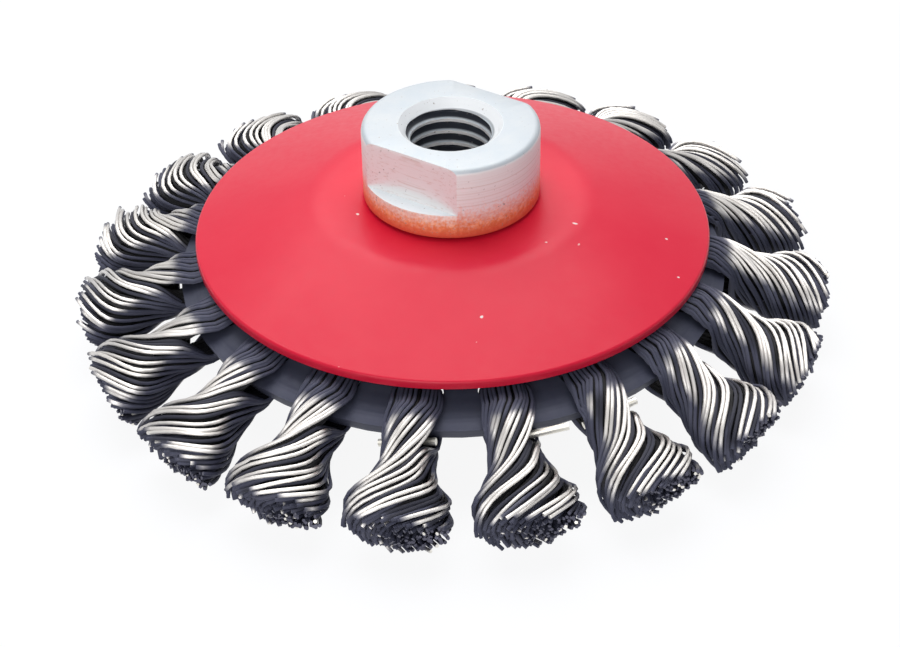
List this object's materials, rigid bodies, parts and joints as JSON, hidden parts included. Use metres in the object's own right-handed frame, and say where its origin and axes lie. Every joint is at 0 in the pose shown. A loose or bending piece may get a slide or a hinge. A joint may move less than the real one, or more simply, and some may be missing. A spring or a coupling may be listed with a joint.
{
  "type": "knotted conical wire brush",
  "caption": "Bevel wire brush for an angle grinder: a threaded nut riveted through a red pressed cover and a plate that carries a ring of twisted steel wire knots.",
  "frame": {"origin": "on the brush's axis, in the plane that its tufts stand on", "axes": "+Z along the brush's axis, from the tufts to the nut; -Y is the side that the picture shows in front; +X is to the right of it"},
  "size_m": [0.1123, 0.1122, 0.0358],
  "materials": {
    "zinc": "bright zinc plate, fine turning marks",
    "red_enamel": "glossy red enamel on pressed steel",
    "dark_steel": "dark bare steel, rolled",
    "wire": "bright drawn steel wire",
    "pin_steel": "bright cut steel rod"
  },
  "bodies": {
    "root": {"threaded_nut": "zinc", "red_cover": "red_enamel", "knot_plate": "dark_steel", "wire_knot_01": "wire", "wire_knot_02": "wire", "wire_knot_03": "wire", "wire_knot_04": "wire", "wire_knot_05": "wire", "wire_knot_06": "wire", "wire_knot_07": "wire", "wire_knot_08": "wire", "wire_knot_09": "wire", "wire_knot_10": "wire", "wire_knot_11": "wire", "wire_knot_12": "wire", "wire_knot_13": "wire", "wire_knot_14": "wire", "wire_knot_15": "wire", "wire_knot_16": "wire", "wire_knot_17": "wire", "wire_knot_18": "wire", "wire_knot_19": "wire", "locking_pin_01": "pin_steel", "locking_pin_02": "pin_steel", "locking_pin_03": "pin_steel"}
  },
  "joints": []
}
